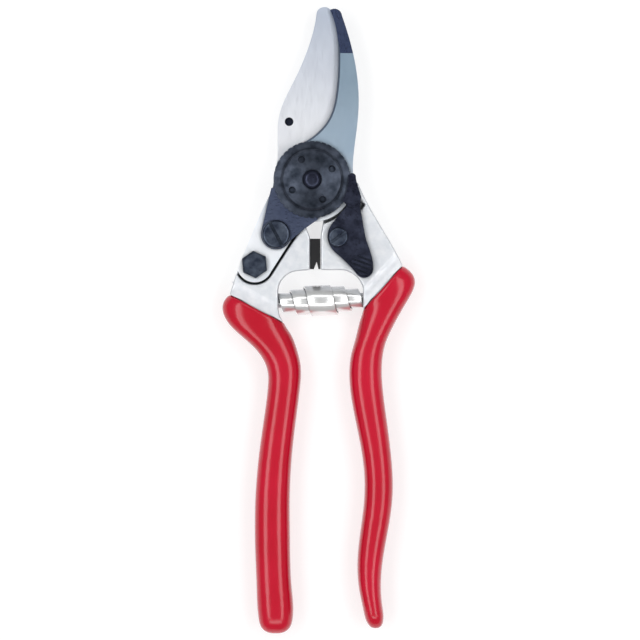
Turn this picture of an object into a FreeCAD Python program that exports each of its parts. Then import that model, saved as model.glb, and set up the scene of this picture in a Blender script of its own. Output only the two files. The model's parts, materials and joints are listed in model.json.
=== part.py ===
"""Compact one-hand bypass pruning shears, closed, lying on their back.

Millimetres. The origin is on the pivot axis, in the plane that the shears rest on.
+Y points to the blade tips, +X to the thumb catch side, and +Z out of the nut side.
The hook lever is the left handle with the hook; the blade lever is the right handle with the blade.
"""

import FreeCAD, Part
import math
import os

V = FreeCAD.Vector
UP = V(0, 0, 1)

# Layers, from the resting plane up
REST_Z = 0.0
HEAD_BACK_Z = 1.2  # back face of both forged heads
EYE_TOP_Z = 5.0  # front face of the blade lever's eye, where the blade is bedded
BLADE_TOP_Z = 7.95
SHEAR_Z = 8.0  # back face of the hook plate
FRONT_Z = 11.8  # front face of the hook plate and of both forged heads
MID_Z = (HEAD_BACK_Z + FRONT_Z) / 2

# Fits
THREAD_GAP = 0.02  # radial gap of screws and pins in the parts that hold them
SCREW_GAP = 0.1  # radial gap of screws in the parts that they clamp
RUN_GAP = 0.06  # radial running clearance of a turning part
FLAT_GAP = 0.03  # gap of the bolt's flats in the hook plate

# Pivot stack
BOLT_R = 4.5
BOLT_FLAT_HALF = 3.6
BOLT_HEAD_R = 6.6
BOLT_HEAD_T = 2.6
BOLT_HEAD_CHAMFER = 0.5
BOLT_HEAD_GAP = 0.12
BOLT_HEAD_FLOAT = 0.05
BOLT_THREAD_R = 3.0
BOLT_END_Z = 16.7
BOLT_END_ROUND = 1.5
BUSH_R = 5.5
EYE_R = 11.8  # blade lever's eye
PLATE_EYE_R = 12.5  # hook plate's eye, set a little off the pivot axis
PLATE_EYE_C = (0.4, -0.5)
HOOK_SIDE_CLEAR_R = 14.3  # nothing of the hook lever's forging comes nearer to the pivot
BLADE_SIDE_CLEAR_R = 14.0  # nothing of the blade lever's front half comes nearer

# Adjusting nut and its locking segment
NUT_R = 12.0
NUT_ROOT_R = 11.6
NUT_TEETH = 40
NUT_RIM_T = 1.9
NUT_HUB_R = 9.5
NUT_HUB_T = 3.5
MESH_GAP = 0.05
SPANNER_RING = 7.0
SPANNER_HOLE_R = 1.1
SPANNER_ANGLES = (28, 118, 208, 298)
HUB_CHAMFER = 0.6
SEGMENT_T = 1.7
SEGMENT_SCREW_C = (-11.2, -17.0)
SEGMENT_LOBE_R = 4.7

# Fasteners
SCREW_R = 2.0
SCREW_DEPTH_Z = 3.2  # floor of the front screws' bores
SCREW_END_Z = 3.3  # how low the front screws reach
SLOT_HEAD_R = 4.4
SLOT_HEAD_T = 1.9
SLOT_HALF = 0.5
SLOT_SHARE = 0.45  # slot depth and edge rounding, as shares of the head's height
SEGMENT_SLOT_DEG = -62
CATCH_SLOT_DEG = 35
HOOK_SCREW_C = (-17.9, -26.4)
HEX_FLATS = 7.4
HEX_T = 2.9
HEX_CHAMFER = 1.0
HEX_SLOPE = 1.6
HEX_TURN = 35
BLADE_SCREW_RING = 8.95
BLADE_SCREW_ANGLES = (-35.0, 205.0)
BLADE_SCREW_R = 1.3
BLADE_SCREW_HEAD_R = 1.9
BLADE_SCREW_HEAD_Z = 1.35
BLADE_SCREW_SEAT_Z = 2.9
BLADE_SCREW_END_Z = 7.05
BLADE_SCREW_BORE_Z = 7.15
SOCKET_SIZE = (0.8, 4.0, 0.8)  # driver slot in the blade screws' heads

# Blade
BLADE_ROOT_R = 11.4
BLADE_BEVEL = 3.0
BLADE_HOLE_C = (-7.2, 18.3)
BLADE_HOLE_R = 1.35
BLADE_HOLE_DEPTH = 2.3

# Hook plate tang and its seat in the left forging
TANG_R = 5.5
SEAM = 0.7

# Thumb catch
CATCH_PIVOT = (8.1, -17.9)
CATCH_BACK_Z = 11.9
CATCH_T = 2.3
CATCH_GAP = 0.05
CATCH_SCREW_HEAD_R = 3.0
CATCH_SCREW_HEAD_T = 1.1
PAWL_ANGLES = (-31.5, -24.5)
PAWL_R = (13.35, 14.4)
PAWL_LOW_Z = 8.3
PAWL_POCKET_R = (10.85, 13.25)
PAWL_POCKET_ANGLES = (50.5, 80.0)
ARM_IN_R = 11.3
ARM_TOP_DEG = 5.0
ARM_RISE = 0.8
TAB_RISE = 1.7
TAB_GROOVES = 4
TAB_GROOVE_HALF = 0.35
TAB_GROOVE_DEPTH = 0.8
TAB_PITCH = 1.35
TAB_TURN = -20.0
TAB_C = (15.4, -26.4)
NOTCH_R = 12.3
NOTCH_OUT_R = 16.0
NOTCH_PLAY = (2.5, 3.5)  # degrees that the notch is wider than the pawl, on each side
RELIEF_OUT_R = 13.6
RELIEF_ANGLES = (-11.0, 4.5)

# Hook facet and forging softness
HOOK_FACET_Y = 39.4
HOOK_FACET_SLOPE = 0.13
HOOK_CHAMFER = 0.6
HEAD_ROUND = 1.2
VALLEY_R = 5.0
VALLEY_DEPTH = 0.45
VALLEY_OFFSET = 2.3
FRONT_ROUND = 0.5

# Closed stop
STOP_LEFT_X = -0.65
STOP_RIGHT_X = 2.65
BUFFER_GAP = 0.1
BUFFER_Z0 = 2.4
BUFFER_Z1 = 11.0

# Return spring, a double volute of flat strip
SPRING_LEFT = V(-10.5, -38.1, MID_Z)
SPRING_RIGHT = V(15.9, -36.9, MID_Z)
STRIP_W = 8.2
STRIP_T = 0.85
COIL_MID_R = 5.2
COIL_END_R = 2.75
COIL_TURNS = 2.25
SEAT_R = 3.4
SEAT_DEPTH = 0.6
STUD_R = 1.8
STUD_SHANK_R = 1.3
STUD_LONG = 3.6
STUD_ROUND = 0.6
SEAT_SHARE = 0.9  # share of the seat depth that the spring ends sink in
STUD_ANCHOR = 3.7
STATIONS_PER_TURN = 12

# Grips
COAT_T = 1.8
COAT_FIT = 0.05
LEFT_CORE_REACH = (-1.5, 5.0)
RIGHT_CORE_REACH = (-1.0, 2.5)
GRIP_DEPTH = 13.2
GRIP_MID_Z = 6.9
GRIP_SQUARENESS = 2.9  # exponent of the rounded section; 2 is an ellipse
DOME_DEGREES = (35, 58, 76)
DOME_POWER = 0.8


# ---------------------------------------------------------------- shape helpers
def at(p, z=0.0):
    return V(p[0], p[1], z)


def polar(radius, degrees, centre=(0.0, 0.0)):
    a = math.radians(degrees)
    return (centre[0] + radius * math.cos(a), centre[1] + radius * math.sin(a))


def line(a, b):
    return Part.LineSegment(at(a), at(b)).toShape()


def chain(*points):
    return [line(a, b) for a, b in zip(points, points[1:])]


def arc(a, middle, b):
    return Part.Arc(at(a), at(middle), at(b)).toShape()


def spline(*points):
    curve = Part.BSplineCurve()
    curve.interpolate([at(p) for p in points])
    return curve.toShape()


def circle_arc(radius, from_deg, to_deg, centre=(0.0, 0.0)):
    middle = (from_deg + to_deg) / 2
    return arc(polar(radius, from_deg, centre), polar(radius, middle, centre), polar(radius, to_deg, centre))


def slab(edges, z0, z1):
    face = Part.Face(Part.Wire(edges))
    face.translate(V(0, 0, z0))
    solid = face.extrude(V(0, 0, z1 - z0))
    return solid


def disc(radius, z0, z1, centre=(0.0, 0.0)):
    return Part.makeCylinder(radius, z1 - z0, at(centre, z0), UP)


def box(x0, x1, y0, y1, z0, z1):
    return Part.makeBox(x1 - x0, y1 - y0, z1 - z0, V(x0, y0, z0))


def sector(r0, r1, from_deg, to_deg, z0, z1):
    """A piece of a ring about the pivot axis."""
    edges = [
        circle_arc(r0, from_deg, to_deg),
        line(polar(r0, to_deg), polar(r1, to_deg)),
        circle_arc(r1, to_deg, from_deg),
        line(polar(r1, from_deg), polar(r0, from_deg)),
    ]
    return slab(edges, z0, z1)


def rim_edges(solid, z, keep=lambda edge: True):
    """The edges that lie wholly in the plane at height z."""
    found = []
    for edge in solid.Edges:
        flat = abs(edge.BoundBox.ZMin - z) < 1e-4 and abs(edge.BoundBox.ZMax - z) < 1e-4
        if flat and keep(edge):
            found.append(edge)
    return found


# ---------------------------------------------------------------- outlines
def hook_left_edge():
    """Left edge of the hook plate, shared by the left forging below it."""
    return [(-23.2, -27.9), (-18.4, -15.9), polar(HOOK_SIDE_CLEAR_R, 200.6)]


def plate_edges():
    """Hook plate: tang, eye and hook, anticlockwise from the tang's left side."""
    low, mid, high = hook_left_edge()
    tang = HOOK_SCREW_C
    tang_end = polar(TANG_R, -28, tang)
    eye_left = polar(PLATE_EYE_R, 174, PLATE_EYE_C)
    eye_low = polar(PLATE_EYE_R, 256, PLATE_EYE_C)
    throat = polar(PLATE_EYE_R, 104, PLATE_EYE_C)
    eye_right = polar(PLATE_EYE_R, 368, PLATE_EYE_C)
    return [
        arc(low, polar(TANG_R, -105, tang), tang_end),
        line(tang_end, eye_low),
        circle_arc(PLATE_EYE_R, 256, 368, PLATE_EYE_C),
        spline(eye_right, (12.8, 6.7), (13.8, 15.0), (14.5, 24.5), (13.6, 35.1), (11.5, 44.3), (9.3, 51.2)),
        arc((9.3, 51.2), (7.9, 53.2), (5.6, 53.0)),
        spline((5.6, 53.0), (7.6, 46.5), (8.2, 37.5), (7.6, 27.5), (5.2, 18.9), (0.6, 13.7), throat),
        circle_arc(PLATE_EYE_R, 104, 174, PLATE_EYE_C),
        spline(eye_left, (-12.2, -2.0), high),
        spline(high, mid, low),
    ]


def blade_edges(bevel=0.0):
    """Blade; bevel moves its cutting edge in, towards the spine."""
    heel = (11.6 - bevel * 0.2, 3.4)
    tip = (6.0 - bevel * 0.75, 52.9 - bevel * 0.55)
    cutting = spline(
        heel,
        (10.9 - bevel, 12.0),
        (10.9 - bevel, 22.0),
        (11.1 - bevel, 32.0),
        (9.9 - bevel, 42.5),
        (8.0 - bevel * 0.92, 49.0 - bevel * 0.2),
        tip,
    )
    return [
        circle_arc(BLADE_ROOT_R, -150, 13.8),
        line(polar(BLADE_ROOT_R, 13.8), heel),
        cutting,
        spline(tip, (4.6, 54.0), (2.6, 53.8), (1.4, 52.3)),
        spline((1.4, 52.3), (-1.0, 42.0), (-5.6, 31.2), (-9.6, 22.7), (-10.8, 16.4)),
        line((-10.8, 16.4), (-10.8, 6.6)),
        arc((-10.8, 6.6), polar(BLADE_ROOT_R, 178), polar(BLADE_ROOT_R, 210)),
    ]


def left_cavity_edges(low, stop_low):
    """Spring cavity wall of the left forging, from the grip line up to the closed stop."""
    return [
        spline(low, (-10.1, -42.3), (-10.6, -39.5)),
        line((-10.6, -39.5), (-10.6, -34.4)),
        arc((-10.6, -34.4), (-8.7, -30.2), (-4.6, -28.3)),
        line((-4.6, -28.3), stop_low),
    ]


def left_head_edges():
    """Left forged head, anticlockwise from the top of the grip line."""
    low, mid, high = hook_left_edge()
    outer, inner = LEFT_STATIONS[0]
    start = HOOK_SIDE_CLEAR_R
    return [
        line(outer, inner),
        *left_cavity_edges(inner, (STOP_LEFT_X, -28.0)),
        *chain((STOP_LEFT_X, -28.0), (STOP_LEFT_X, -17.9), polar(start, 261.5)),
        circle_arc(start, 261.5, 200.6),
        spline(high, mid, low),
        spline(low, (-24.5, -31.9), outer),
    ]


def right_head_edges(inner_r):
    """Right forged head; inner_r is how near to the pivot it comes."""
    outer, inner = RIGHT_STATIONS[0]
    top_deg, low_deg = -3.0, -69.0
    top = polar(BLADE_SIDE_CLEAR_R + 0.3, top_deg)
    return [
        spline(top, (16.6, -5.9), (22.5, -16.2), outer),
        line(outer, inner),
        line(inner, (15.9, -33.6)),
        arc((15.9, -33.6), (13.6, -29.9), (9.4, -28.0)),
        *chain((9.4, -28.0), (STOP_RIGHT_X, -28.0), (STOP_RIGHT_X, -17.6), polar(inner_r, low_deg)),
        circle_arc(inner_r, low_deg, top_deg),
        line(polar(inner_r, top_deg), top),
    ]


def catch_edges():
    """Thumb catch's plate: pivot lobe at the left, heel at the top right, thumb end at the bottom."""
    low_left = (7.6, -23.0)
    return [
        spline((11.6, -7.1), (9.5, -9.7), (7.1, -12.5), (5.3, -15.2), (4.8, -18.0), (5.6, -20.6), low_left),
        spline(low_left, (10.6, -25.7), (13.4, -28.7)),
        arc((13.4, -28.7), (16.9, -30.4), (19.0, -27.6)),
        spline((19.0, -27.6), (18.4, -23.4), (16.9, -19.0), (15.7, -13.0), (14.9, -8.6)),
        line((14.9, -8.6), (15.2, -5.4)),
        arc((15.2, -5.4), (14.5, -4.4), (13.5, -4.7)),
        line((13.5, -4.7), (11.6, -7.1)),
    ]


def catch_arm_edges():
    """Thin leaf of the catch that runs up over the nut's toothed rim."""
    low, top = polar(ARM_IN_R, -34), polar(ARM_IN_R, ARM_TOP_DEG)
    tip = polar(ARM_IN_R + 1.0, ARM_TOP_DEG + 4)
    outer = polar(ARM_IN_R + 2.3, ARM_TOP_DEG - 3)
    return [
        circle_arc(ARM_IN_R, -34, ARM_TOP_DEG),
        arc(top, tip, outer),
        spline(outer, (14.3, -2.2), (15.0, -4.8), (14.6, -7.6)),
        spline((14.6, -7.6), (12.8, -8.6), low),
    ]


# Grip stations from the head down: outer and inner edge point of each cross section
LEFT_STATIONS = [
    ((-25.7, -35.7), (-8.7, -44.6)),
    ((-27.4, -42.6), (-7.0, -47.5)),
    ((-23.0, -47.9), (-5.6, -50.3)),
    ((-17.8, -52.6), (-4.4, -54.0)),
    ((-14.3, -58.2), (-3.5, -58.6)),
    ((-13.9, -65.0), (-3.8, -65.0)),
    ((-15.7, -78.5), (-5.5, -78.5)),
    ((-17.6, -96.0), (-6.9, -96.0)),
    ((-17.9, -113.0), (-6.9, -113.0)),
    ((-17.4, -127.0), (-6.4, -127.0)),
    ((-16.8, -136.6), (-6.0, -136.6)),
]
LEFT_END = (-11.4, -141.6)
RIGHT_STATIONS = [
    ((28.2, -26.6), (15.9, -40.3)),
    ((31.9, -33.4), (15.2, -43.0)),
    ((28.6, -39.6), (14.2, -46.6)),
    ((24.9, -46.4), (13.1, -50.9)),
    ((22.3, -53.4), (11.9, -55.8)),
    ((21.8, -61.0), (11.6, -61.8)),
    ((23.2, -74.0), (13.3, -74.0)),
    ((25.1, -91.0), (16.2, -91.0)),
    ((24.6, -104.0), (15.8, -104.0)),
    ((22.5, -116.0), (14.3, -116.0)),
    ((21.5, -126.0), (14.4, -126.0)),
    ((22.2, -134.6), (16.1, -135.0)),
]
RIGHT_END = (20.0, -140.0)


# ---------------------------------------------------------------- grips and handle cores
def section_wire(a, b, depth, points=24):
    """A closed rounded section, upright between the plan points a and b."""
    centre = V((a[0] + b[0]) / 2, (a[1] + b[1]) / 2, GRIP_MID_Z)
    half = V((b[0] - a[0]) / 2, (b[1] - a[1]) / 2, 0)
    path = []
    for i in range(points):
        t = 2 * math.pi * i / points
        c, s = math.cos(t), math.sin(t)
        u = math.copysign(abs(c) ** (2 / GRIP_SQUARENESS), c)
        w = math.copysign(abs(s) ** (2 / GRIP_SQUARENESS), s)
        path.append(centre + half * u + UP * (w * depth / 2))
    curve = Part.BSplineCurve()
    curve.interpolate(path, True)
    return Part.Wire([curve.toShape()])


def inset(a, b, by):
    """The plan points a and b, both moved inwards by the same distance."""
    span = math.hypot(b[0] - a[0], b[1] - a[1])
    share = by / span
    return (
        (a[0] + (b[0] - a[0]) * share, a[1] + (b[1] - a[1]) * share),
        (b[0] - (b[0] - a[0]) * share, b[1] - (b[1] - a[1]) * share),
    )


def dome_stations(last, end):
    """Stations that close a grip with a rounded end, as (a, b, share of the depth)."""
    a, b = last
    mid = ((a[0] + b[0]) / 2, (a[1] + b[1]) / 2)
    made = []
    for degrees in DOME_DEGREES:
        along = math.sin(math.radians(degrees))
        share = math.cos(math.radians(degrees)) ** DOME_POWER
        c = (mid[0] + (end[0] - mid[0]) * along, mid[1] + (end[1] - mid[1]) * along)
        half = ((b[0] - a[0]) / 2 * share, (b[1] - a[1]) / 2 * share)
        made.append(((c[0] - half[0], c[1] - half[1]), (c[0] + half[0], c[1] + half[1]), share))
    return made


def grip_body(stations, end):
    """The outer form of a grip."""
    wires = [section_wire(a, b, GRIP_DEPTH) for a, b in stations]
    wires += [section_wire(a, b, GRIP_DEPTH * share) for a, b, share in dome_stations(stations[-1], end)]
    return Part.makeLoft(wires, True, False)


def core_body(stations, shrink, reach):
    """The forged core inside a grip; reach moves its first section up into the head."""
    first = inset(*stations[0], COAT_T + shrink)
    lifted = tuple((p[0] + reach[0], p[1] + reach[1]) for p in first)
    sections = [lifted] + [inset(*s, COAT_T + shrink) for s in stations]
    depth = GRIP_DEPTH - 2 * (COAT_T + shrink)
    return Part.makeLoft([section_wire(a, b, depth) for a, b in sections], True, False)


def left_grip():
    return grip_body(LEFT_STATIONS, LEFT_END).cut(core_body(LEFT_STATIONS, 0.0, LEFT_CORE_REACH))


def right_grip():
    return grip_body(RIGHT_STATIONS, RIGHT_END).cut(core_body(RIGHT_STATIONS, 0.0, RIGHT_CORE_REACH))


# ---------------------------------------------------------------- hook lever
def soften(solid, z, radius, keep=lambda edge: True):
    """Round the outline edges of a face at height z."""
    return solid.makeFillet(radius, rim_edges(solid, z, keep))


def double_d(half, radius, z0, z1):
    """Round shank with two flats, square to X."""
    return disc(radius, z0, z1).common(box(-half, half, -radius, radius, z0, z1))


def hook_blade():
    plate = slab(plate_edges(), SHEAR_Z, FRONT_Z)
    plate = plate.makeChamfer(HOOK_CHAMFER, rim_edges(plate, FRONT_Z, is_hook_inside))
    plate = plate.cut(double_d(BOLT_FLAT_HALF + FLAT_GAP, BOLT_R + FLAT_GAP, SHEAR_Z, FRONT_Z))
    for centre in (HOOK_SCREW_C, SEGMENT_SCREW_C):
        plate = plate.cut(disc(SCREW_R + SCREW_GAP, SHEAR_Z, FRONT_Z, centre))
    notch_angles = (PAWL_ANGLES[0] - NOTCH_PLAY[0], PAWL_ANGLES[1] + NOTCH_PLAY[1])
    locked = sector(NOTCH_R, NOTCH_OUT_R, *notch_angles, SHEAR_Z, FRONT_Z)
    relief = sector(NOTCH_R, RELIEF_OUT_R, *RELIEF_ANGLES, SHEAR_Z, FRONT_Z)
    plate = plate.cut(locked).cut(relief)
    return plate.cut(tip_wedge())


def is_hook_inside(edge):
    """The concave inner edge of the hook."""
    centre = edge.BoundBox.Center
    return edge.Length > 30 and abs(centre.x - 2.9) < 2.0 and centre.y > 20


def tip_wedge():
    """The ground facet that thins the front of the hook towards its tip."""
    length = 20.0
    top = V(0, HOOK_FACET_Y, FRONT_Z)
    low = top + V(0, length, -length * HOOK_FACET_SLOPE)
    profile = [top, low, top + V(0, length, 1), top + V(0, 0, 1), top]
    face = Part.Face(Part.makePolygon(profile))
    return face.extrude(V(40, 0, 0)).translated(V(-10, 0, 0))


def tang_seat():
    """Room for the hook plate's tang in the left forging, with a thin seam round it."""
    face = Part.Face(Part.Wire(plate_edges())).makeOffset2D(SEAM)
    return face.extrude(V(0, 0, FRONT_Z - SHEAR_Z + 1)).translated(V(0, 0, SHEAR_Z))


def valley(station):
    """Shallow hollow across the front of a forging, just above its grip."""
    outer, inner = at(station[0]), at(station[1])
    run = inner - outer
    run.normalize()
    up = UP.cross(run) if run.x > 0 else run.cross(UP)
    middle = (outer + inner) / 2 + up * VALLEY_OFFSET
    start = middle - run * 20 + UP * (FRONT_Z + VALLEY_R - VALLEY_DEPTH)
    return Part.makeCylinder(VALLEY_R, 40, start, run)


def spring_seat(end, way):
    """Shallow round recess for a spring end and its stud; way is +1 when it opens to +X."""
    recess = Part.makeCylinder(SEAT_R, SEAT_DEPTH + 3, end - V(way * SEAT_DEPTH, 0, 0), V(way, 0, 0))
    hole = Part.makeCylinder(STUD_SHANK_R + THREAD_GAP, 4, end - V(way * 4, 0, 0), V(way, 0, 0))
    return recess.fuse(hole)


def left_handle():
    head = slab(left_head_edges(), HEAD_BACK_Z, FRONT_Z)
    head = soften(head, HEAD_BACK_Z, HEAD_ROUND, is_left_side)
    head = head.fuse(core_body(LEFT_STATIONS, COAT_FIT, LEFT_CORE_REACH))
    head = head.cut(tang_seat()).cut(valley(LEFT_STATIONS[0]))
    for centre in (HOOK_SCREW_C, SEGMENT_SCREW_C):
        head = head.cut(disc(SCREW_R + THREAD_GAP, SCREW_DEPTH_Z, FRONT_Z, centre))
    return head.cut(spring_seat(SPRING_LEFT, 1)).removeSplitter()


def is_left_side(edge):
    """The outer side of the left forging, above the grip line."""
    centre = edge.BoundBox.Center
    return centre.x < -EYE_R and centre.y > -35


def hex_screw(centre):
    radius = HEX_FLATS / math.sqrt(3)
    corners = [polar(radius, HEX_TURN + 60 * i, centre) for i in range(6)]
    head = slab(chain(*corners, corners[0]), FRONT_Z, FRONT_Z + HEX_T)
    base_r, top_r = radius + HEX_T * HEX_SLOPE, radius - HEX_CHAMFER
    cone = Part.makeCone(base_r, top_r, HEX_T, at(centre, FRONT_Z), UP)
    shank = disc(SCREW_R, SCREW_END_Z, FRONT_Z, centre)
    return head.common(cone).fuse(shank).removeSplitter()


def slot_screw(centre, head_r, head_t, under_z, shank_r, low_z, slot_deg):
    """Domed screw with one straight slot."""
    head = disc(head_r, under_z, under_z + head_t, centre)
    head = head.makeFillet(head_t * SLOT_SHARE, rim_edges(head, under_z + head_t))
    slot_z = under_z + head_t * SLOT_SHARE
    slot = box(-head_r - 1, head_r + 1, -SLOT_HALF, SLOT_HALF, slot_z, under_z + head_t + 1)
    slot.rotate(V(0, 0, 0), UP, slot_deg)
    slot.translate(at(centre))
    return head.cut(slot).fuse(disc(shank_r, low_z, under_z, centre)).removeSplitter()


def hook_screw():
    return hex_screw(HOOK_SCREW_C)


def segment_screw():
    sizes = (SLOT_HEAD_R, SLOT_HEAD_T, FRONT_Z + SEGMENT_T, SCREW_R, SCREW_END_Z)
    return slot_screw(SEGMENT_SCREW_C, *sizes, SEGMENT_SLOT_DEG)


def tooth_outline(tip_r, root_r):
    """Toothed rim with flat tips, as a closed polygon."""
    pitch = 360.0 / NUT_TEETH
    points = []
    for i in range(NUT_TEETH):
        for share, radius in ((-0.45, root_r), (-0.30, tip_r), (0.30, tip_r), (0.45, root_r)):
            points.append(polar(radius, (i + share) * pitch))
    return chain(*points, points[0])


def pivot_nut():
    nut = slab(tooth_outline(NUT_R, NUT_ROOT_R), FRONT_Z, FRONT_Z + NUT_RIM_T)
    hub = disc(NUT_HUB_R, FRONT_Z, FRONT_Z + NUT_HUB_T)
    hub = hub.makeChamfer(HUB_CHAMFER, rim_edges(hub, FRONT_Z + NUT_HUB_T))
    nut = nut.fuse(hub).cut(disc(BOLT_THREAD_R + THREAD_GAP, FRONT_Z, FRONT_Z + NUT_HUB_T))
    for degrees in SPANNER_ANGLES:
        centre = polar(SPANNER_RING, degrees)
        nut = nut.cut(disc(SPANNER_HOLE_R, FRONT_Z + NUT_RIM_T, FRONT_Z + NUT_HUB_T, centre))
    return nut.removeSplitter()


def toothed_segment():
    lobe = SEGMENT_SCREW_C
    left, right = polar(SEGMENT_LOBE_R, 172, lobe), polar(SEGMENT_LOBE_R, -28, lobe)
    edges = [
        spline((-12.7, -2.6), (-14.1, -8.6), left),
        arc(left, polar(SEGMENT_LOBE_R, -108, lobe), right),
        spline(right, (-3.6, -16.3), (1.8, -12.4)),
        *chain((1.8, -12.4), (1.0, -8.0), (-8.0, -2.0), (-12.7, -2.6)),
    ]
    plate = slab(edges, FRONT_Z, FRONT_Z + SEGMENT_T)
    rim = slab(tooth_outline(NUT_R + MESH_GAP, NUT_ROOT_R + MESH_GAP), FRONT_Z, FRONT_Z + SEGMENT_T)
    return plate.cut(rim).cut(disc(SCREW_R + SCREW_GAP, FRONT_Z, FRONT_Z + SEGMENT_T, lobe))


def pivot_bolt():
    head = disc(BOLT_HEAD_R, REST_Z, REST_Z + BOLT_HEAD_T)
    head = head.makeChamfer(BOLT_HEAD_CHAMFER, rim_edges(head, REST_Z))
    shank = disc(BOLT_R, BOLT_HEAD_T, SHEAR_Z)
    flats = double_d(BOLT_FLAT_HALF, BOLT_R, SHEAR_Z, FRONT_Z)
    thread = disc(BOLT_THREAD_R, FRONT_Z, BOLT_END_Z)
    thread = thread.makeFillet(BOLT_END_ROUND, rim_edges(thread, BOLT_END_Z))
    return head.fuse([shank, flats, thread]).removeSplitter()


def buffer():
    """Rubber stop held on the left stop face, notched at its lower end."""
    x0, x1 = STOP_LEFT_X, STOP_RIGHT_X - BUFFER_GAP
    points = [(x0, -18.3), (x1, -18.3), (x1, -27.7), (2.0, -27.7), (1.4, -25.4), (0.5, -27.7), (x0, -27.7)]
    return slab(chain(*points, points[0]), BUFFER_Z0, BUFFER_Z1)


def spring_stud(end, way):
    """Pin pressed into a cavity wall; the spring end sits over its round head."""
    base = end - V(way * SEAT_DEPTH, 0, 0)
    head = Part.makeCylinder(STUD_R, STUD_LONG, base, V(way, 0, 0))
    tip = [e for e in head.Edges if abs(e.BoundBox.Center.x - (base.x + way * STUD_LONG)) < 1e-3]
    head = head.makeFillet(STUD_ROUND, tip)
    anchor = end - V(way * STUD_ANCHOR, 0, 0)
    shank = Part.makeCylinder(STUD_SHANK_R, STUD_ANCHOR - SEAT_DEPTH, anchor, V(way, 0, 0))
    return head.fuse(shank)


def left_spring_stud():
    return spring_stud(SPRING_LEFT, 1)


def right_spring_stud():
    return spring_stud(SPRING_RIGHT, -1)


def volute_spring():
    """Flat strip wound into two cones, widest at the middle, with its faces along the axis."""
    axis = SPRING_RIGHT - SPRING_LEFT
    span = axis.Length
    axis.normalize()
    across = UP.cross(axis)
    sunk = SEAT_DEPTH * SEAT_SHARE
    travel = span - STRIP_W + 2 * sunk
    count = int(2 * COIL_TURNS * STATIONS_PER_TURN)
    wires = []
    for i in range(count + 1):
        share = i / count
        angle = 2 * math.pi * 2 * COIL_TURNS * share
        swell = 1 - abs(2 * share - 1)
        radius = COIL_END_R + (COIL_MID_R - COIL_END_R) * swell
        out = across * math.cos(angle) + UP * math.sin(angle)
        start = SPRING_LEFT + axis * (travel * share - sunk)
        inner, outer = start + out * (radius - STRIP_T), start + out * radius
        run = axis * STRIP_W
        wires.append(Part.makePolygon([inner, outer, outer + run, inner + run, inner]))
    return Part.makeLoft(wires, True, True)


# ---------------------------------------------------------------- blade lever
def cutting_blade():
    """Blade with its flat face at the shear plane and its bevel ground on the back."""
    front = Part.Wire(blade_edges())
    back = Part.Wire(blade_edges(BLADE_BEVEL))
    front.translate(V(0, 0, BLADE_TOP_Z))
    back.translate(V(0, 0, EYE_TOP_Z))
    blade = Part.makeLoft([back, front], True, True)
    blade = blade.cut(disc(BUSH_R, EYE_TOP_Z, BLADE_TOP_Z))
    blade = blade.cut(disc(BLADE_HOLE_R, BLADE_TOP_Z - BLADE_HOLE_DEPTH, BLADE_TOP_Z, BLADE_HOLE_C))
    for degrees in BLADE_SCREW_ANGLES:
        centre = polar(BLADE_SCREW_RING, degrees)
        blade = blade.cut(disc(BLADE_SCREW_R + THREAD_GAP, EYE_TOP_Z, BLADE_SCREW_BORE_Z, centre))
    return blade


def right_handle():
    head = slab(right_head_edges(EYE_R - 1), HEAD_BACK_Z, FRONT_Z)
    head = soften(head, HEAD_BACK_Z, HEAD_ROUND, is_right_side)
    head = soften(head, FRONT_Z, FRONT_ROUND, is_right_side)
    head = head.fuse(core_body(RIGHT_STATIONS, COAT_FIT, RIGHT_CORE_REACH))
    head = head.cut(disc(EYE_R - 0.3, EYE_TOP_Z, BLADE_TOP_Z))
    head = head.cut(disc(BLADE_SIDE_CLEAR_R, BLADE_TOP_Z, FRONT_Z + 1))
    head = head.fuse(disc(EYE_R, HEAD_BACK_Z, EYE_TOP_Z))
    head = head.cut(valley(tuple(reversed(RIGHT_STATIONS[0]))))
    head = head.cut(disc(BOLT_HEAD_R + BOLT_HEAD_GAP, HEAD_BACK_Z, BOLT_HEAD_T + BOLT_HEAD_FLOAT))
    head = head.cut(disc(BUSH_R, BOLT_HEAD_T, EYE_TOP_Z))
    for degrees in BLADE_SCREW_ANGLES:
        centre = polar(BLADE_SCREW_RING, degrees)
        head = head.cut(disc(BLADE_SCREW_R + THREAD_GAP, HEAD_BACK_Z, EYE_TOP_Z, centre))
        head = head.cut(disc(BLADE_SCREW_HEAD_R + SCREW_GAP, HEAD_BACK_Z, BLADE_SCREW_SEAT_Z, centre))
    head = head.cut(disc(SCREW_R + THREAD_GAP, SCREW_DEPTH_Z, FRONT_Z, CATCH_PIVOT))
    head = head.cut(pawl_pocket())
    return head.cut(spring_seat(SPRING_RIGHT, -1)).removeSplitter()


def is_right_side(edge):
    """The long outer side of the right forging."""
    return edge.Length > 20 and edge.BoundBox.Center.x > EYE_R


def pawl_pocket():
    """Slot in the right forging that the catch's pawl swings in."""
    r0, r1 = PAWL_POCKET_R
    a0, a1 = PAWL_POCKET_ANGLES
    c = CATCH_PIVOT
    edges = [
        circle_arc(r0, a0, a1, c),
        line(polar(r0, a1, c), polar(r1, a1, c)),
        circle_arc(r1, a1, a0, c),
        line(polar(r1, a0, c), polar(r0, a0, c)),
    ]
    return slab(edges, BLADE_TOP_Z + 0.1, FRONT_Z + 1)


def bearing_bush():
    bush = disc(BUSH_R, BOLT_HEAD_T + BOLT_HEAD_FLOAT, BLADE_TOP_Z)
    return bush.cut(disc(BOLT_R + RUN_GAP, BOLT_HEAD_T, SHEAR_Z))


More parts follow.
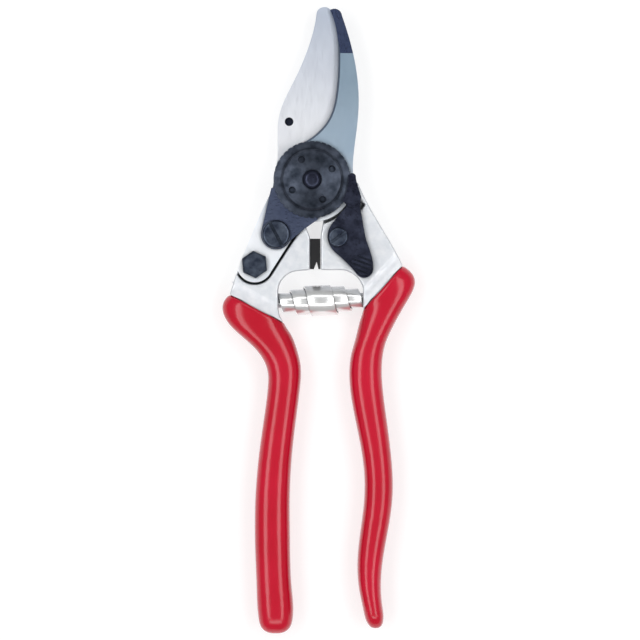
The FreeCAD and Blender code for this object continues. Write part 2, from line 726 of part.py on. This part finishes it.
def blade_screws():
    """Two countersunk screws that hold the blade to the eye from the back."""
    screws = []
    for degrees in BLADE_SCREW_ANGLES:
        centre = polar(BLADE_SCREW_RING, degrees)
        head = disc(BLADE_SCREW_HEAD_R, BLADE_SCREW_HEAD_Z, BLADE_SCREW_SEAT_Z, centre)
        shank = disc(BLADE_SCREW_R, BLADE_SCREW_SEAT_Z, BLADE_SCREW_END_Z, centre)
        wide, long, deep = SOCKET_SIZE
        socket = box(-wide / 2, wide / 2, -long / 2, long / 2, 0, deep)
        socket.translate(at(centre, HEAD_BACK_Z))
        screws.append(head.fuse(shank).cut(socket).removeSplitter())
    return Part.makeCompound(screws)


def catch_screw():
    top = CATCH_BACK_Z + CATCH_T + CATCH_GAP
    sizes = (CATCH_SCREW_HEAD_R, CATCH_SCREW_HEAD_T, top, SCREW_R, SCREW_END_Z)
    return slot_screw(CATCH_PIVOT, *sizes, CATCH_SLOT_DEG)


# ---------------------------------------------------------------- thumb catch
def thumb_catch():
    front_z = CATCH_BACK_Z + CATCH_T
    plate = slab(catch_edges(), CATCH_BACK_Z, front_z)
    tab = slab(thumb_tab_edges(), CATCH_BACK_Z, front_z + TAB_RISE)
    pawl = sector(*PAWL_R, *PAWL_ANGLES, PAWL_LOW_Z, front_z)
    arm = slab(catch_arm_edges(), FRONT_Z + NUT_RIM_T + 0.1, front_z + ARM_RISE)
    catch = plate.fuse([tab, pawl, arm]).removeSplitter()
    catch = catch.cut(disc(SCREW_R + RUN_GAP, CATCH_BACK_Z, front_z, CATCH_PIVOT))
    for i in range(TAB_GROOVES):
        catch = catch.cut(tab_groove(i, front_z + TAB_RISE))
    return catch


def tab_groove(index, top_z):
    """One of the grip grooves across the thumb pad."""
    shift = (index - (TAB_GROOVES - 1) / 2) * TAB_PITCH
    y0, y1 = shift - TAB_GROOVE_HALF, shift + TAB_GROOVE_HALF
    groove = box(-6, 6, y0, y1, top_z - TAB_GROOVE_DEPTH, top_z + 1)
    groove.rotate(V(0, 0, 0), UP, TAB_TURN)
    groove.translate(at(TAB_C))
    return groove


def thumb_tab_edges():
    """Raised pad that the thumb pushes, at the lower end of the catch."""
    return [
        spline((18.0, -23.6), (15.0, -23.5), (11.9, -25.7)),
        spline((11.9, -25.7), (12.6, -27.0), (14.2, -28.6)),
        arc((14.2, -28.6), (16.6, -29.6), (18.3, -27.6)),
        spline((18.3, -27.6), (18.5, -25.4), (18.0, -23.6)),
    ]


# ---------------------------------------------------------------- output
PARTS = [
    left_handle,
    left_grip,
    hook_blade,
    hook_screw,
    toothed_segment,
    segment_screw,
    pivot_bolt,
    pivot_nut,
    buffer,
    left_spring_stud,
    volute_spring,
    right_spring_stud,
    right_handle,
    right_grip,
    cutting_blade,
    bearing_bush,
    blade_screws,
    catch_screw,
    thumb_catch,
]


def write_all():
    os.makedirs("parts", exist_ok=True)
    for build in PARTS:
        build().exportStep("parts/" + build.__name__ + ".step")


if __name__ == "__main__":
    write_all()
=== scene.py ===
"""Pruning shears lying on their back on a pale floor, seen from straight above. Metres, in the CAD frame."""

import json
import math

import bpy
from mathutils import Matrix, Vector


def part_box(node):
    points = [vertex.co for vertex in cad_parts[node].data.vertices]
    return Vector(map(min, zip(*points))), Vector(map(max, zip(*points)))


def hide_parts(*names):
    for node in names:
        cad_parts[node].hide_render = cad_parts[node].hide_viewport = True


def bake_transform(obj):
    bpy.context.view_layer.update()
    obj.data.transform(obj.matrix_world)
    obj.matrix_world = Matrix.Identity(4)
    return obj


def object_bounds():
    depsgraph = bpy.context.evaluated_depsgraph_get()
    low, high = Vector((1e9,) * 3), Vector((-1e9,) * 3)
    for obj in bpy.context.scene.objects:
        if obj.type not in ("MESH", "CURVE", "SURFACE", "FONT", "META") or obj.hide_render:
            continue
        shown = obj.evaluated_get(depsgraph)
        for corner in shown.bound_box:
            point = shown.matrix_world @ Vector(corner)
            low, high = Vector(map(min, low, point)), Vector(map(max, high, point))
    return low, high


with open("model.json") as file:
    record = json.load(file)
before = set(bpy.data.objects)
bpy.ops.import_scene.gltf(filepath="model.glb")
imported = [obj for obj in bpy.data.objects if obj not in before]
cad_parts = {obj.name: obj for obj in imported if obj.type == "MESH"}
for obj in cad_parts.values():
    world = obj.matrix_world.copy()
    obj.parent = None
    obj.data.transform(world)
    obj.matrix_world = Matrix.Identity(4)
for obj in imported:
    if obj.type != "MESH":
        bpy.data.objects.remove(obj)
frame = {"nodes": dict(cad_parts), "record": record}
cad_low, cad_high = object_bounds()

MM = 0.001
nodes = frame["nodes"]


# ---------------------------------------------------------------- materials
def new_material(name):
    mat = bpy.data.materials.new(name)
    mat.use_nodes = True
    tree = mat.node_tree
    tree.nodes.clear()
    out = tree.nodes.new("ShaderNodeOutputMaterial")
    shader = tree.nodes.new("ShaderNodeBsdfPrincipled")
    tree.links.new(shader.outputs["BSDF"], out.inputs["Surface"])
    return mat, tree, shader


def coords(tree, scale=(1, 1, 1)):
    """Object coordinates, which run as the CAD frame does, stretched by scale."""
    source = tree.nodes.new("ShaderNodeTexCoord")
    mapping = tree.nodes.new("ShaderNodeMapping")
    mapping.inputs["Scale"].default_value = scale
    tree.links.new(source.outputs["Object"], mapping.inputs["Vector"])
    return mapping.outputs["Vector"]


def noise(tree, vector, scale, detail=3.0, rough=0.5):
    node = tree.nodes.new("ShaderNodeTexNoise")
    node.inputs["Scale"].default_value = scale
    node.inputs["Detail"].default_value = detail
    node.inputs["Roughness"].default_value = rough
    tree.links.new(vector, node.inputs["Vector"])
    return node.outputs["Fac"]


def spread(tree, value, low, high, from_low=0.3, from_high=0.7):
    """Maps a 0 to 1 texture value on to low to high."""
    node = tree.nodes.new("ShaderNodeMapRange")
    node.inputs["From Min"].default_value = from_low
    node.inputs["From Max"].default_value = from_high
    node.inputs["To Min"].default_value = low
    node.inputs["To Max"].default_value = high
    tree.links.new(value, node.inputs["Value"])
    return node.outputs["Result"]


def bump(tree, shader, height, distance, strength=1.0):
    node = tree.nodes.new("ShaderNodeBump")
    node.inputs["Distance"].default_value = distance
    node.inputs["Strength"].default_value = strength
    tree.links.new(height, node.inputs["Height"])
    tree.links.new(node.outputs["Normal"], shader.inputs["Normal"])


def two_tone(tree, shader, value, dark, light):
    """Base colour between two tones."""
    node = tree.nodes.new("ShaderNodeMix")
    node.data_type = "RGBA"
    node.inputs["A"].default_value = (*dark, 1)
    node.inputs["B"].default_value = (*light, 1)
    tree.links.new(value, node.inputs["Factor"])
    tree.links.new(node.outputs["Result"], shader.inputs["Base Color"])
    return node


AO_SAMPLES = 8
AO_RANGE = (0.25, 0.75)


def painted_crevice_shade(tree, shader, base, reach, shade_tone):
    """Painted shade: darkens narrow gaps and inner corners by how closely they are hemmed in (ambient
    occlusion).
    """
    shade = tree.nodes.new("ShaderNodeAmbientOcclusion")
    shade.samples = AO_SAMPLES
    shade.inputs["Distance"].default_value = reach
    mix = tree.nodes.new("ShaderNodeMix")
    mix.data_type = "RGBA"
    mix.inputs["A"].default_value = (*shade_tone, 1)
    tree.links.new(spread(tree, shade.outputs["AO"], 0, 1, *AO_RANGE), mix.inputs["Factor"])
    tree.links.new(base.outputs["Result"], mix.inputs["B"])
    tree.links.new(mix.outputs["Result"], shader.inputs["Base Color"])


def fade_along_y(tree, shader, base, start, end, tint):
    """Multiplies the base colour by tint, from nothing at y = start to all of it at y = end, in mm."""
    parts = tree.nodes.new("ShaderNodeSeparateXYZ")
    tree.links.new(coords(tree), parts.inputs["Vector"])
    mix = tree.nodes.new("ShaderNodeMix")
    mix.data_type = "RGBA"
    mix.blend_type = "MULTIPLY"
    mix.inputs["B"].default_value = (*tint, 1)
    tree.links.new(spread(tree, parts.outputs["Y"], 0, 1, start * MM, end * MM), mix.inputs["Factor"])
    tree.links.new(base.outputs["Result"], mix.inputs["A"])
    tree.links.new(mix.outputs["Result"], shader.inputs["Base Color"])
    return mix


# Reach and tone of the painted shade in the gaps and corners of metal parts.
METAL_CREVICE = 1.5 * MM
METAL_CREVICE_SHADE = (0.02, 0.025, 0.035)
ROUGHNESS_SHARE = 0.22


def metal(name, dark, light, rough, grain, depth=0.00001, metallic=1.0, tone_scale=60, fades=()):
    """Metal with fine grain: grain is how its noise is stretched along X, Y and Z, depth is how deep it is.

    fades are (start, end, tint) for fade_along_y.
    """
    mat, tree, shader = new_material(name)
    shader.inputs["Metallic"].default_value = metallic
    fine = noise(tree, coords(tree, grain), scale=1.0, detail=4.0, rough=0.6)
    tone = noise(tree, coords(tree), tone_scale)
    base = two_tone(tree, shader, spread(tree, tone, 0, 1), dark, light)
    for start, end, tint in fades:
        base = fade_along_y(tree, shader, base, start, end, tint)
    # Painted shade in narrow gaps and inner corners.
    painted_crevice_shade(tree, shader, base, METAL_CREVICE, METAL_CREVICE_SHADE)
    change = rough * ROUGHNESS_SHARE
    tree.links.new(spread(tree, fine, rough - change, rough + change), shader.inputs["Roughness"])
    bump(tree, shader, fine, depth)
    return mat


RING_SCALE = 1100
RING_DISTORTION = 0.6
RING_DEPTH = 0.000006
TURNED_BLOTCH = 350
# Reach and tone of the painted shade in the gaps of turned parts.
TURNED_CREVICE = 1.0 * MM
TURNED_CREVICE_SHADE = (0.012, 0.014, 0.020)
BOW_TIE = 0.8
QUARTER_TURN = 0.25


def turned(name, dark, light, rough):
    """Lathe-turned metal: fine rings about the pivot axis, with the bow-tie sheen that they give."""
    mat, tree, shader = new_material(name)
    shader.inputs["Metallic"].default_value = 1.0
    shader.inputs["Roughness"].default_value = rough
    shader.inputs["Anisotropic"].default_value = BOW_TIE
    shader.inputs["Anisotropic Rotation"].default_value = QUARTER_TURN
    tangent = tree.nodes.new("ShaderNodeTangent")
    tangent.direction_type = "RADIAL"
    tangent.axis = "Z"
    tree.links.new(tangent.outputs["Tangent"], shader.inputs["Tangent"])
    blotches = noise(tree, coords(tree), TURNED_BLOTCH)
    base = two_tone(tree, shader, spread(tree, blotches, 0, 1), dark, light)
    # Painted shade in narrow gaps and inner corners.
    painted_crevice_shade(tree, shader, base, TURNED_CREVICE, TURNED_CREVICE_SHADE)
    rings = tree.nodes.new("ShaderNodeTexWave")
    rings.wave_type = "RINGS"
    rings.rings_direction = "Z"
    rings.inputs["Scale"].default_value = RING_SCALE
    rings.inputs["Distortion"].default_value = RING_DISTORTION
    tree.links.new(coords(tree), rings.inputs["Vector"])
    bump(tree, shader, rings.outputs["Fac"], RING_DEPTH)
    return mat


COAT_BLOTCH = 45
COAT_RIPPLE = 160
COAT_RIPPLE_DEPTH = 0.00012
COAT_RIPPLE_STRENGTH = 0.4


def coat_material(name, dark, light, rough, specular):
    """Plastic or rubber, with a faint ripple as dipped and moulded skins have."""
    mat, tree, shader = new_material(name)
    broad = noise(tree, coords(tree), COAT_BLOTCH, detail=2.0)
    two_tone(tree, shader, spread(tree, broad, 0, 1), dark, light)
    shader.inputs["Roughness"].default_value = rough
    shader.inputs["Specular IOR Level"].default_value = specular
    ripple = noise(tree, coords(tree), COAT_RIPPLE, detail=2.0)
    bump(tree, shader, ripple, COAT_RIPPLE_DEPTH, COAT_RIPPLE_STRENGTH)
    return mat


forging = metal(
    "forged_aluminium",
    dark=(0.65, 0.68, 0.72),
    light=(0.755, 0.772, 0.80),
    rough=0.44,
    grain=(900, 900, 900),
    depth=0.00004,
    metallic=0.5,
    tone_scale=480,
)
blade_steel = metal(
    "blade_steel",
    dark=(0.80, 0.81, 0.85),
    light=(0.88, 0.89, 0.92),
    rough=0.36,
    grain=(4000, 260, 4000),
    metallic=0.6,
    # Darker and bluer towards the tip: painted shade.
    fades=[(10, 52, (0.62, 0.68, 0.77))],
)
hook_steel = metal(
    "hook_steel",
    dark=(0.86, 0.91, 0.98),
    light=(0.95, 0.97, 1.00),
    rough=0.36,
    grain=(4000, 400, 4000),
    metallic=0.5,
    # The first fade takes the hook from its pale tang to its blue-grey; the second, darker towards the tip,
    # is painted shade.
    fades=[(-14, 9, (0.36, 0.45, 0.53)), (14, 30, (0.75, 0.79, 0.81))],
)
# Dark navy for the hook's tip facet: a painted reflection on steel of the same kind as the hook.
facet_painted_reflection = metal(
    "hook_facet_painted_reflection",
    dark=(0.045, 0.060, 0.120),
    light=(0.065, 0.085, 0.155),
    rough=0.30,
    grain=(3000, 600, 3000),
)
# Darker copy of the hook's steel for its sides and chamfers: painted shade.
side_painted_shade = metal(
    "hook_side_painted_shade",
    dark=(0.10, 0.13, 0.18),
    light=(0.16, 0.20, 0.27),
    rough=0.36,
    grain=(3000, 3000, 600),
)
black_steel = metal(
    "black_steel",
    dark=(0.018, 0.020, 0.034),
    light=(0.050, 0.057, 0.090),
    rough=0.32,
    grain=(1500, 1500, 1500),
    depth=0.00002,
    tone_scale=300,
)
# Black steel painted lighter for the screw heads: painted highlight.
screw_steel = metal(
    "screw_steel",
    dark=(0.028, 0.036, 0.058),
    light=(0.095, 0.115, 0.155),
    rough=0.34,
    grain=(1500, 1500, 1500),
    depth=0.00002,
    tone_scale=420,
)
turned_steel = turned("turned_steel", dark=(0.022, 0.028, 0.040), light=(0.085, 0.100, 0.135), rough=0.38)
blued_steel = metal(
    "blued_steel",
    dark=(0.060, 0.075, 0.130),
    light=(0.120, 0.145, 0.220),
    rough=0.32,
    grain=(800, 2500, 2500),
)
spring_steel = metal(
    "spring_steel",
    dark=(0.88, 0.89, 0.89),
    light=(0.95, 0.95, 0.95),
    rough=0.22,
    grain=(2500, 2500, 2500),
    depth=0.000005,
    metallic=0.7,
)
bronze = metal(
    "bush_bronze",
    dark=(0.45, 0.30, 0.14),
    light=(0.55, 0.38, 0.19),
    rough=0.30,
    grain=(1500, 1500, 3000),
)
vinyl = coat_material(
    "red_vinyl",
    dark=(0.51, 0.002, 0.018),
    light=(0.60, 0.004, 0.030),
    rough=0.19,
    specular=0.45,
)
rubber = coat_material(
    "buffer_rubber",
    dark=(0.010, 0.010, 0.011),
    light=(0.020, 0.020, 0.022),
    rough=0.6,
    specular=0.2,
)

FINISHES = {
    "forged_aluminium": forging,
    "blade_steel": blade_steel,
    "hook_steel": hook_steel,
    "black_steel": black_steel,
    "spring_steel": spring_steel,
    "bush_bronze": bronze,
    "red_vinyl": vinyl,
    "buffer_rubber": rubber,
}


def finish_node(name, mat):
    mesh = nodes[name].data
    mesh.materials.clear()
    mesh.materials.append(mat)


for part in frame["record"]["subparts"]:
    finish_node(part["node"], FINISHES[part["material_slot"]])

finish_node("toothed_segment", blued_steel)
finish_node("pivot_nut", turned_steel)
# The screws get the lighter black steel, a painted highlight.
for name in ("segment_screw", "hook_screw", "catch_screw"):
    finish_node(name, screw_steel)


def paint_faces(name, mat, chosen):
    """Gives the faces that chosen(face) picks a finish of their own."""
    mesh = nodes[name].data
    mesh.materials.append(mat)
    index = len(mesh.materials) - 1
    for face in mesh.polygons:
        if chosen(face):
            face.material_index = index


STEEP = 0.9
LEVEL = 0.9995
FACET_LEAN = 0.05
HOOK_ROOT_Y = 12 * MM
RECESS_C = Vector((-7.2 * MM, 18.3 * MM, 0))
RECESS_R = 1.4 * MM
RECESS_FLOOR_GAP = 0.3 * MM
RECESS_RIM_GAP = 0.1 * MM


def on_facet(face):
    """The ground facet slopes a little towards the hook's tip."""
    return STEEP < face.normal.z < LEVEL and face.normal.y > FACET_LEAN


def on_side(face):
    """Everything on the hook that doesn't face the front."""
    return face.normal.z < STEEP and face.center.y > HOOK_ROOT_Y


def in_recess(face):
    """The recess near the blade's spine, painted black as painted shade in the hole."""
    low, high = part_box("cutting_blade")
    near = (Vector((face.center.x, face.center.y, 0)) - RECESS_C).length < RECESS_R
    return near and low[2] + RECESS_FLOOR_GAP < face.center.z < high[2] - RECESS_RIM_GAP


# The tip facet gets the painted reflection.
paint_faces("hook_blade", facet_painted_reflection, on_facet)
# Faces of the hook that do not face the front get painted shade.
paint_faces("hook_blade", side_painted_shade, on_side)
# The recess near the spine is painted black: painted shade.
paint_faces("cutting_blade", black_steel, in_recess)


# ---------------------------------------------------------------- edges and skins of the CAD pieces
EDGE_BREAKS = {
    "hook_blade": 0.15,
    "cutting_blade": 0.08,
    "pivot_nut": 0.10,
    "toothed_segment": 0.12,
    "hook_screw": 0.12,
    "thumb_catch": 0.25,
    "buffer": 0.2,
}
BREAK_SEGMENTS = 2
BREAK_ANGLE = math.radians(32)
GRIP_SKIN = (0.5, 8)  # voxel in mm, and smoothing passes
FORGING_SKIN = (0.32, 3)
RELAX_FACTOR = 0.5


def break_edges(name, width):
    """Small rounded edges on a CAD piece, as every made piece has; width is in mm."""
    mod = nodes[name].modifiers.new("edge_break", "BEVEL")
    mod.width = width * MM
    mod.segments = BREAK_SEGMENTS
    mod.limit_method = "ANGLE"
    mod.angle_limit = BREAK_ANGLE
    mod.use_clamp_overlap = True


def soften(name, voxel, passes):
    """Melts a CAD piece's edges into a soft skin; voxel is its grain in mm."""
    skin = nodes[name].modifiers.new("skin", "REMESH")
    skin.mode = "VOXEL"
    skin.voxel_size = voxel * MM
    skin.use_smooth_shade = True
    relax = nodes[name].modifiers.new("relax", "SMOOTH")
    relax.factor = RELAX_FACTOR
    relax.iterations = passes


for name, width in EDGE_BREAKS.items():
    break_edges(name, width)

# Dipped grips with a rounded lip, and tumbled forgings
for name in ("left_grip", "right_grip"):
    soften(name, *GRIP_SKIN)
for name in ("left_handle", "right_handle"):
    soften(name, *FORGING_SKIN)


# ---------------------------------------------------------------- return spring
COIL_TURNS = 2.25
STEPS_PER_TURN = 56
STRIP_T = 0.85 * MM
STRIP_W = 8.1 * MM
STRIP_ROUND = 0.13 * MM
KNEE_SHARE = 0.3
STUD_GAP = 0.1 * MM
SHARP_ANGLE = math.radians(50)
UP = Vector((0, 0, 1))


def middle(node):
    low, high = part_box(node)
    return (Vector(low) + Vector(high)) / 2


def strip_section(inner, outer):
    """Rounded rectangle of the strip, as (distance from the axis, distance along it)."""
    points = []
    for u, v, du, dv in (
        (inner, 0, 1, 1),
        (outer, 0, -1, 1),
        (outer, STRIP_W, -1, -1),
        (inner, STRIP_W, 1, -1),
    ):
        near_u, near_v = (u, v + dv * STRIP_ROUND), (u + du * STRIP_ROUND, v)
        knee = (u + du * STRIP_ROUND * KNEE_SHARE, v + dv * STRIP_ROUND * KNEE_SHARE)
        turn = (near_u, knee, near_v) if du * dv > 0 else (near_v, knee, near_u)
        points.extend(turn)
    return points


def new_piece(name, verts, faces, mat):
    mesh = bpy.data.meshes.new(name)
    mesh.from_pydata(verts, [], faces)
    mesh.validate()
    mesh.materials.append(mat)
    obj = bpy.data.objects.new(name, mesh)
    bpy.context.scene.collection.objects.link(obj)
    mesh.shade_smooth()
    mesh.set_sharp_from_angle(angle=SHARP_ANGLE)
    return obj


def build_spring():
    """Double volute: one flat strip wound out to the middle and in again."""
    low, high = (Vector(c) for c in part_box("volute_spring"))
    left, right = middle("left_spring_stud"), middle("right_spring_stud")
    slope = (right.y - left.y) / (right.x - left.x)
    start = Vector((low.x, left.y + slope * (low.x - left.x), left.z))
    stop = Vector((high.x, left.y + slope * (high.x - left.x), right.z))
    axis = (stop - start).normalized()
    across = UP.cross(axis)
    stud_low, stud_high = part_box("left_spring_stud")
    end_r = (stud_high[2] - stud_low[2]) / 2 + STRIP_T + STUD_GAP
    middle_r = (high.y - low.y) / 2
    travel = (stop - start).length - STRIP_W
    count = int(2 * COIL_TURNS * STEPS_PER_TURN)
    verts, faces = [], []
    for i in range(count + 1):
        share = i / count
        angle = 2 * math.pi * 2 * COIL_TURNS * share
        radius = end_r + (middle_r - end_r) * (1 - abs(2 * share - 1))
        out = across * math.cos(angle) + UP * math.sin(angle)
        base = start + axis * (travel * share)
        ring = strip_section(radius - STRIP_T, radius)
        verts.extend(base + out * u + axis * v for u, v in ring)
    per = len(ring)
    for i in range(count):
        for k in range(per):
            a, b = i * per + k, i * per + (k + 1) % per
            faces.append((a, a + per, b + per, b))
    faces.append(tuple(range(per)))
    faces.append(tuple(reversed(range(count * per, count * per + per))))
    obj = new_piece("volute_strip", verts, faces, spring_steel)
    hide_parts("volute_spring")
    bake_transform(obj)


build_spring()


# ---------------------------------------------------------------- floor, light and camera
FLOOR_SIZE = 6.0
FLOOR_DROP = 0.5 * MM
FLOOR_TONE = 0.42
FLOOR_GLOW = 0.64
FLOOR_ROUGHNESS = 0.9
SKY_STRENGTH = 0.31
SIDE_BOX_HEIGHT = 1.15
SIDE_BOX_REACH = 0.55
SIDE_BOX = (1.2, 0.42)
SIDE_BOX_POWERS = (("left_box", -1, 5.8), ("right_box", 1, 5.5))  # name, side, watts
END_BOX_HEIGHT = 1.05
END_BOX_REACH = 0.75
END_BOX = (0.9, 0.22)
END_BOX_POWERS = (("front_box", -1, 2.2), ("back_box", 1, 1.3))
CAMERA_DISTANCE = 1.1
CAMERA_SHIFT = Vector((0.4 * MM, 0.05 * MM, 0))
FRAME_MARGIN = 1.0215
SENSOR = 36
CLIP_START = 0.01


def floor_material():
    """White studio floor that glows a little, so that it stays pale under the object."""
    mat, tree, shader = new_material("studio_floor")
    shader.inputs["Base Color"].default_value = (FLOOR_TONE, FLOOR_TONE, FLOOR_TONE, 1)
    shader.inputs["Roughness"].default_value = FLOOR_ROUGHNESS
    shader.inputs["Emission Color"].default_value = (1, 1, 1, 1)
    shader.inputs["Emission Strength"].default_value = FLOOR_GLOW
    return mat


def add_floor(location):
    mesh = bpy.data.meshes.new("floor")
    h = FLOOR_SIZE / 2
    mesh.from_pydata([(-h, -h, 0), (h, -h, 0), (h, h, 0), (-h, h, 0)], [], [(0, 1, 2, 3)])
    obj = bpy.data.objects.new("floor", mesh)
    obj.location = location
    obj.data.materials.append(floor_material())
    bpy.context.scene.collection.objects.link(obj)


def set_sky():
    world = bpy.data.worlds.new("studio")
    world.use_nodes = True
    background = world.node_tree.nodes["Background"]
    background.inputs["Color"].default_value = (1, 1, 1, 1)
    background.inputs["Strength"].default_value = SKY_STRENGTH
    bpy.context.scene.world = world
    bpy.context.scene.view_settings.view_transform = "Standard"


def soft_light(name, location, target, size, power):
    data = bpy.data.lights.new(name, "AREA")
    data.shape = "RECTANGLE"
    data.size, data.size_y = size
    data.energy = power
    obj = bpy.data.objects.new(name, data)
    way = target - location
    obj.matrix_world = Matrix.Translation(location) @ way.to_track_quat("-Z", "Y").to_matrix().to_4x4()
    bpy.context.scene.collection.objects.link(obj)


def add_camera(target, frame_width):
    """Looks straight down, with frame_width across the picture at the height of the target."""
    data = bpy.data.cameras.new("camera")
    data.sensor_width = SENSOR
    data.lens = SENSOR * CAMERA_DISTANCE / frame_width
    data.clip_start = CLIP_START
    obj = bpy.data.objects.new("camera", data)
    obj.location = target + CAMERA_SHIFT + UP * CAMERA_DISTANCE
    bpy.context.scene.collection.objects.link(obj)
    bpy.context.scene.camera = obj


low, high = Vector(cad_low), Vector(cad_high)
centre = (low + high) / 2
ground = Vector((centre.x, centre.y, 0))

add_floor((centre.x, centre.y, low.z - FLOOR_DROP))
set_sky()
for name, side, power in SIDE_BOX_POWERS:
    soft_light(name, ground + Vector((side * SIDE_BOX_REACH, 0, SIDE_BOX_HEIGHT)), centre, SIDE_BOX, power)
for name, side, power in END_BOX_POWERS:
    soft_light(name, ground + Vector((0, side * END_BOX_REACH, END_BOX_HEIGHT)), centre, END_BOX, power)
add_camera(centre, (high.y - low.y) * FRAME_MARGIN)
